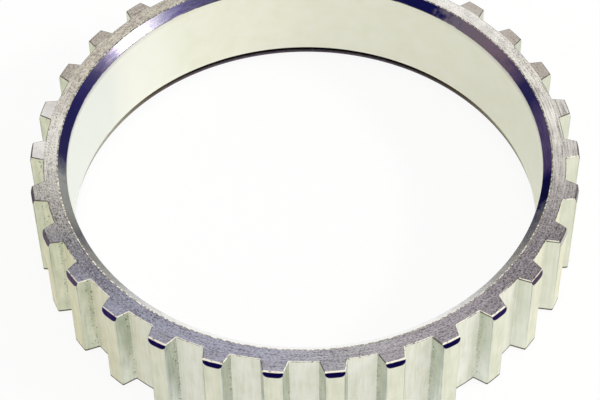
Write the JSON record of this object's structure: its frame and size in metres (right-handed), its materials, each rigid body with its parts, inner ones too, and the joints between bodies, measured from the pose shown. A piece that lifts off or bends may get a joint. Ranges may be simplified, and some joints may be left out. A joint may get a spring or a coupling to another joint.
{
  "type": "abs tone ring",
  "caption": "Toothed steel ring pressed onto a drive shaft joint or hub, so that a wheel speed sensor can read its passing teeth.",
  "frame": {"origin": "on the ring's axis, in the plane of its lower face", "axes": "+Z along the ring's axis, towards the face with the wide bore chamfer; the middle of a tooth lies on +X"},
  "size_m": [0.09, 0.0898, 0.018],
  "materials": {
    "zinc_plated_steel": "zinc plated and passivated, turned faces, matte cut teeth"
  },
  "bodies": {
    "root": {"tone_ring": "zinc_plated_steel"}
  },
  "joints": []
}
